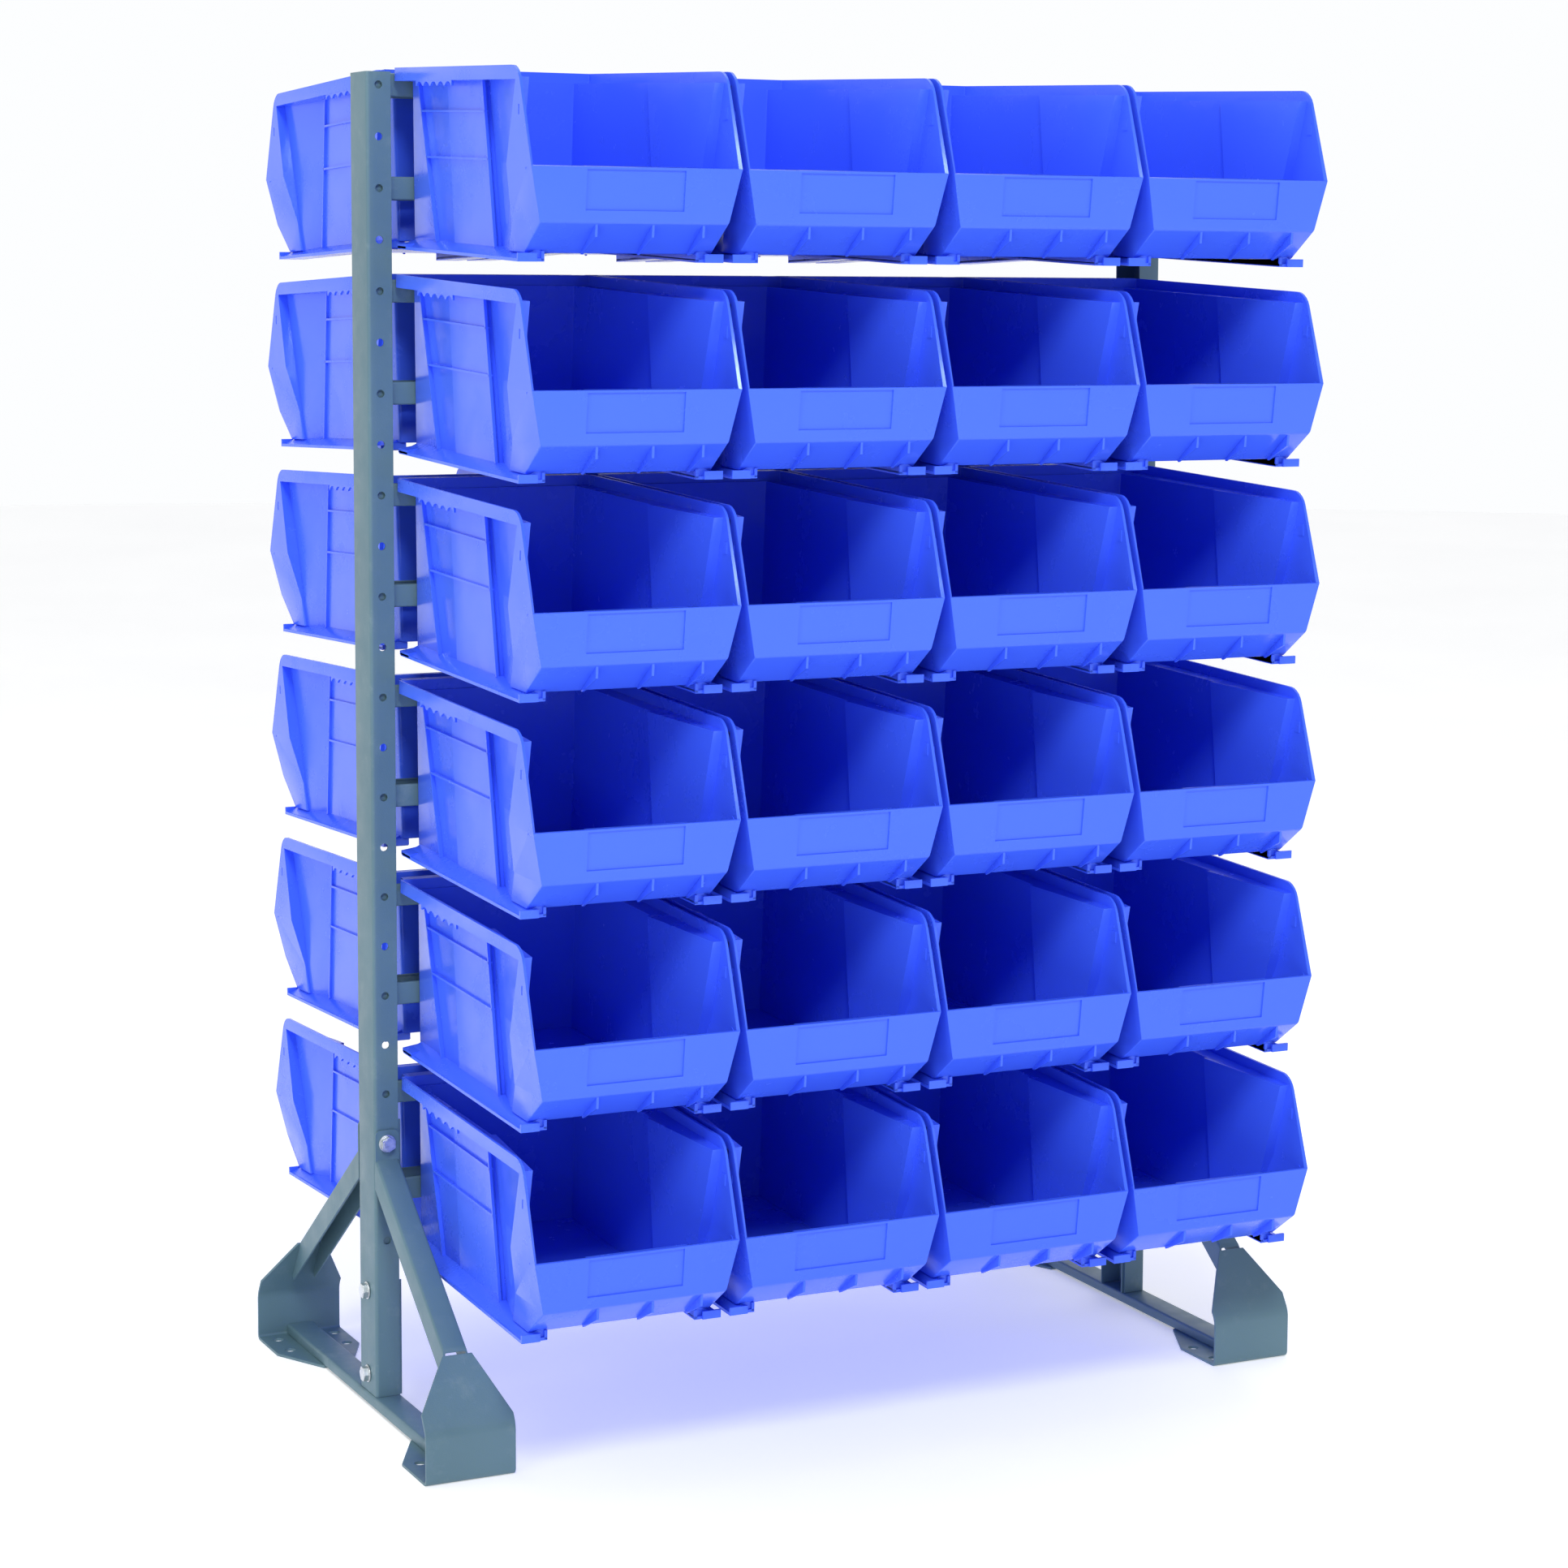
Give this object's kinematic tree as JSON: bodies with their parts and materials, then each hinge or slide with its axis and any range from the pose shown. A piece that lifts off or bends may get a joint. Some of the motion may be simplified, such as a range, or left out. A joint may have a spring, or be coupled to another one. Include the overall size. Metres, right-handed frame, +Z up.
{
  "type": "double-sided bin rack",
  "caption": "Free-standing double-sided rack: two channel uprights on splayed feet carry horizontal rails, with open-front hopper bins hooked over them on both sides.",
  "frame": {"origin": "on the floor at the centre of the rack", "axes": "+X along the rails to the right, +Y through the rack away from the front, +Z up"},
  "size_m": [0.983, 0.7948, 1.3632],
  "materials": {
    "frame_paint": "satin grey powder coat with a green-blue tint",
    "bin_plastic": "semi-gloss moulded polypropylene, royal blue",
    "zinc_fastener": "bright zinc plate"
  },
  "bodies": {
    "rack_frame": {"upright_left": "frame_paint", "base_channel_left": "frame_paint", "inner_post_left": "frame_paint", "web_bolt_lower_left": "zinc_fastener", "web_bolt_upper_left": "zinc_fastener", "foot_front_left": "frame_paint", "brace_front_left": "frame_paint", "foot_back_left": "frame_paint", "brace_back_left": "frame_paint", "upright_right": "frame_paint", "base_channel_right": "frame_paint", "inner_post_right": "frame_paint", "web_bolt_lower_right": "zinc_fastener", "web_bolt_upper_right": "zinc_fastener", "foot_front_right": "frame_paint", "brace_front_right": "frame_paint", "foot_back_right": "frame_paint", "brace_back_right": "frame_paint", "rail_pair_01": "frame_paint", "rail_pair_02": "frame_paint", "rail_pair_03": "frame_paint", "rail_pair_04": "frame_paint", "rail_pair_05": "frame_paint", "rail_pair_06": "frame_paint", "rail_pair_07": "frame_paint", "rail_pair_08": "frame_paint", "rail_pair_09": "frame_paint", "rail_pair_10": "frame_paint", "rail_pair_11": "frame_paint", "rail_pair_12": "frame_paint"},
    "bin_row1_col1": {"bin_row1_col1": "bin_plastic"},
    "bin_row1_col2": {"bin_row1_col2": "bin_plastic"},
    "bin_row1_col3": {"bin_row1_col3": "bin_plastic"},
    "bin_row1_col4": {"bin_row1_col4": "bin_plastic"},
    "bin_row2_col1": {"bin_row2_col1": "bin_plastic"},
    "bin_row2_col2": {"bin_row2_col2": "bin_plastic"},
    "bin_row2_col3": {"bin_row2_col3": "bin_plastic"},
    "bin_row2_col4": {"bin_row2_col4": "bin_plastic"},
    "bin_row3_col1": {"bin_row3_col1": "bin_plastic"},
    "bin_row3_col2": {"bin_row3_col2": "bin_plastic"},
    "bin_row3_col3": {"bin_row3_col3": "bin_plastic"},
    "bin_row3_col4": {"bin_row3_col4": "bin_plastic"},
    "bin_row4_col1": {"bin_row4_col1": "bin_plastic"},
    "bin_row4_col2": {"bin_row4_col2": "bin_plastic"},
    "bin_row4_col3": {"bin_row4_col3": "bin_plastic"},
    "bin_row4_col4": {"bin_row4_col4": "bin_plastic"},
    "bin_row5_col1": {"bin_row5_col1": "bin_plastic"},
    "bin_row5_col2": {"bin_row5_col2": "bin_plastic"},
    "bin_row5_col3": {"bin_row5_col3": "bin_plastic"},
    "bin_row5_col4": {"bin_row5_col4": "bin_plastic"},
    "bin_row6_col1": {"bin_row6_col1": "bin_plastic"},
    "bin_row6_col2": {"bin_row6_col2": "bin_plastic"},
    "bin_row6_col3": {"bin_row6_col3": "bin_plastic"},
    "bin_row6_col4": {"bin_row6_col4": "bin_plastic"},
    "bins_back_row1": {"bins_back_row1": "bin_plastic"},
    "bins_back_row2": {"bins_back_row2": "bin_plastic"},
    "bins_back_row3": {"bins_back_row3": "bin_plastic"},
    "bins_back_row4": {"bins_back_row4": "bin_plastic"},
    "bins_back_row5": {"bins_back_row5": "bin_plastic"},
    "bins_back_row6": {"bins_back_row6": "bin_plastic"}
  },
  "joints": [
    {"name": "lift_row1_col1", "type": "slide", "parent": "rack_frame", "child": "bin_row1_col1", "axis": [0, -0.0349, 0.9994], "range_m": [0, 0.06]},
    {"name": "lift_row1_col2", "type": "slide", "parent": "rack_frame", "child": "bin_row1_col2", "axis": [0, -0.0349, 0.9994], "range_m": [0, 0.06]},
    {"name": "lift_row1_col3", "type": "slide", "parent": "rack_frame", "child": "bin_row1_col3", "axis": [0, -0.0349, 0.9994], "range_m": [0, 0.06]},
    {"name": "lift_row1_col4", "type": "slide", "parent": "rack_frame", "child": "bin_row1_col4", "axis": [0, -0.0349, 0.9994], "range_m": [0, 0.06]},
    {"name": "lift_row2_col1", "type": "slide", "parent": "rack_frame", "child": "bin_row2_col1", "axis": [0, -0.0349, 0.9994], "range_m": [0, 0.02]},
    {"name": "lift_row2_col2", "type": "slide", "parent": "rack_frame", "child": "bin_row2_col2", "axis": [0, -0.0349, 0.9994], "range_m": [0, 0.02]},
    {"name": "lift_row2_col3", "type": "slide", "parent": "rack_frame", "child": "bin_row2_col3", "axis": [0, -0.0349, 0.9994], "range_m": [0, 0.02]},
    {"name": "lift_row2_col4", "type": "slide", "parent": "rack_frame", "child": "bin_row2_col4", "axis": [0, -0.0349, 0.9994], "range_m": [0, 0.02]},
    {"name": "lift_row3_col1", "type": "slide", "parent": "rack_frame", "child": "bin_row3_col1", "axis": [0, -0.0349, 0.9994], "range_m": [0, 0.02]},
    {"name": "lift_row3_col2", "type": "slide", "parent": "rack_frame", "child": "bin_row3_col2", "axis": [0, -0.0349, 0.9994], "range_m": [0, 0.02]},
    {"name": "lift_row3_col3", "type": "slide", "parent": "rack_frame", "child": "bin_row3_col3", "axis": [0, -0.0349, 0.9994], "range_m": [0, 0.02]},
    {"name": "lift_row3_col4", "type": "slide", "parent": "rack_frame", "child": "bin_row3_col4", "axis": [0, -0.0349, 0.9994], "range_m": [0, 0.02]},
    {"name": "lift_row4_col1", "type": "slide", "parent": "rack_frame", "child": "bin_row4_col1", "axis": [0, -0.0349, 0.9994], "range_m": [0, 0.02]},
    {"name": "lift_row4_col2", "type": "slide", "parent": "rack_frame", "child": "bin_row4_col2", "axis": [0, -0.0349, 0.9994], "range_m": [0, 0.02]},
    {"name": "lift_row4_col3", "type": "slide", "parent": "rack_frame", "child": "bin_row4_col3", "axis": [0, -0.0349, 0.9994], "range_m": [0, 0.02]},
    {"name": "lift_row4_col4", "type": "slide", "parent": "rack_frame", "child": "bin_row4_col4", "axis": [0, -0.0349, 0.9994], "range_m": [0, 0.02]},
    {"name": "lift_row5_col1", "type": "slide", "parent": "rack_frame", "child": "bin_row5_col1", "axis": [0, -0.0349, 0.9994], "range_m": [0, 0.02]},
    {"name": "lift_row5_col2", "type": "slide", "parent": "rack_frame", "child": "bin_row5_col2", "axis": [0, -0.0349, 0.9994], "range_m": [0, 0.02]},
    {"name": "lift_row5_col3", "type": "slide", "parent": "rack_frame", "child": "bin_row5_col3", "axis": [0, -0.0349, 0.9994], "range_m": [0, 0.02]},
    {"name": "lift_row5_col4", "type": "slide", "parent": "rack_frame", "child": "bin_row5_col4", "axis": [0, -0.0349, 0.9994], "range_m": [0, 0.02]},
    {"name": "lift_row6_col1", "type": "slide", "parent": "rack_frame", "child": "bin_row6_col1", "axis": [0, -0.0349, 0.9994], "range_m": [0, 0.02]},
    {"name": "lift_row6_col2", "type": "slide", "parent": "rack_frame", "child": "bin_row6_col2", "axis": [0, -0.0349, 0.9994], "range_m": [0, 0.02]},
    {"name": "lift_row6_col3", "type": "slide", "parent": "rack_frame", "child": "bin_row6_col3", "axis": [0, -0.0349, 0.9994], "range_m": [0, 0.02]},
    {"name": "lift_row6_col4", "type": "slide", "parent": "rack_frame", "child": "bin_row6_col4", "axis": [0, -0.0349, 0.9994], "range_m": [0, 0.02]},
    {"name": "lift_back_row1", "type": "slide", "parent": "rack_frame", "child": "bins_back_row1", "axis": [0, 0.0349, 0.9994], "range_m": [0, 0.06]},
    {"name": "lift_back_row2", "type": "slide", "parent": "rack_frame", "child": "bins_back_row2", "axis": [0, 0.0349, 0.9994], "range_m": [0, 0.02]},
    {"name": "lift_back_row3", "type": "slide", "parent": "rack_frame", "child": "bins_back_row3", "axis": [0, 0.0349, 0.9994], "range_m": [0, 0.02]},
    {"name": "lift_back_row4", "type": "slide", "parent": "rack_frame", "child": "bins_back_row4", "axis": [0, 0.0349, 0.9994], "range_m": [0, 0.02]},
    {"name": "lift_back_row5", "type": "slide", "parent": "rack_frame", "child": "bins_back_row5", "axis": [0, 0.0349, 0.9994], "range_m": [0, 0.02]},
    {"name": "lift_back_row6", "type": "slide", "parent": "rack_frame", "child": "bins_back_row6", "axis": [0, 0.0349, 0.9994], "range_m": [0, 0.02]}
  ]
}
